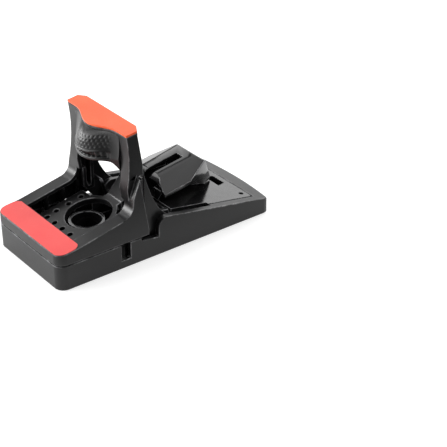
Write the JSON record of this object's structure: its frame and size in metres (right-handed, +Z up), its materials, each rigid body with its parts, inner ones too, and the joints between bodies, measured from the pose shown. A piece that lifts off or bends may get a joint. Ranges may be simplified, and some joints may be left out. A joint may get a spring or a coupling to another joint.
{
  "type": "snap mouse trap",
  "caption": "Easy-set plastic mouse trap: toothed sprung jaw with a domed pedal, tilting perforated trigger plate, bait cup, tray with tube posts and a ribbed spring housing",
  "frame": {"origin": "centre of the base's outline, on the surface that it stands on", "axes": "+X from the front bar to the rear of the deck, +Y to the far side, +Z up"},
  "size_m": [0.1, 0.0454, 0.054],
  "materials": {
    "black_plastic": "injection moulded, satin to glossy black",
    "steel_rod": "dark drawn steel rod",
    "spring_wire": "black oiled spring wire",
    "red_label": "smooth red adhesive strip",
    "orange_pad": "orange-red pad on the pedal's end face"
  },
  "bodies": {
    "base": {"base_shell": "black_plastic", "deck_panel": "black_plastic", "spring_housing": "black_plastic", "bait_cup": "black_plastic", "front_posts": "black_plastic", "near_posts": "black_plastic", "far_posts": "black_plastic", "spring_seats": "black_plastic", "main_axle": "steel_rod"},
    "trigger": {"trigger_plate": "black_plastic", "trigger_spine": "black_plastic", "trigger_catch": "black_plastic"},
    "jaw": {"jaw_bar": "black_plastic", "jaw_side_near": "black_plastic", "jaw_side_far": "black_plastic", "bar_teeth": "black_plastic", "near_teeth": "black_plastic", "far_teeth": "black_plastic", "label_strip": "red_label", "pedal_arm_near": "black_plastic", "pedal_arm_far": "black_plastic", "jaw_ear_near": "black_plastic", "jaw_ear_far": "black_plastic", "pedal_dome": "black_plastic", "pedal_cap": "black_plastic", "pedal_pad": "orange_pad", "spring_near": "spring_wire", "spring_far": "spring_wire"}
  },
  "joints": [
    {"name": "jaw_swing", "type": "hinge", "parent": "base", "child": "jaw", "pos_m": [-0.0031, 0, 0.009], "axis": [0, 1, 0], "range_deg": [0, 95.5], "stiffness_Nm_per_rad": 0.09, "springref_deg": -34.38, "deforming": ["spring_near", "spring_far"]},
    {"name": "trigger_tilt", "type": "hinge", "parent": "base", "child": "trigger", "pos_m": [-0.0031, 0, 0.009], "axis": [0, 1, 0], "range_deg": [0, 12.1]}
  ],
  "couplings": [
    {"joint": "trigger_tilt", "follows": "jaw_swing", "ratio": 0.12565}
  ]
}
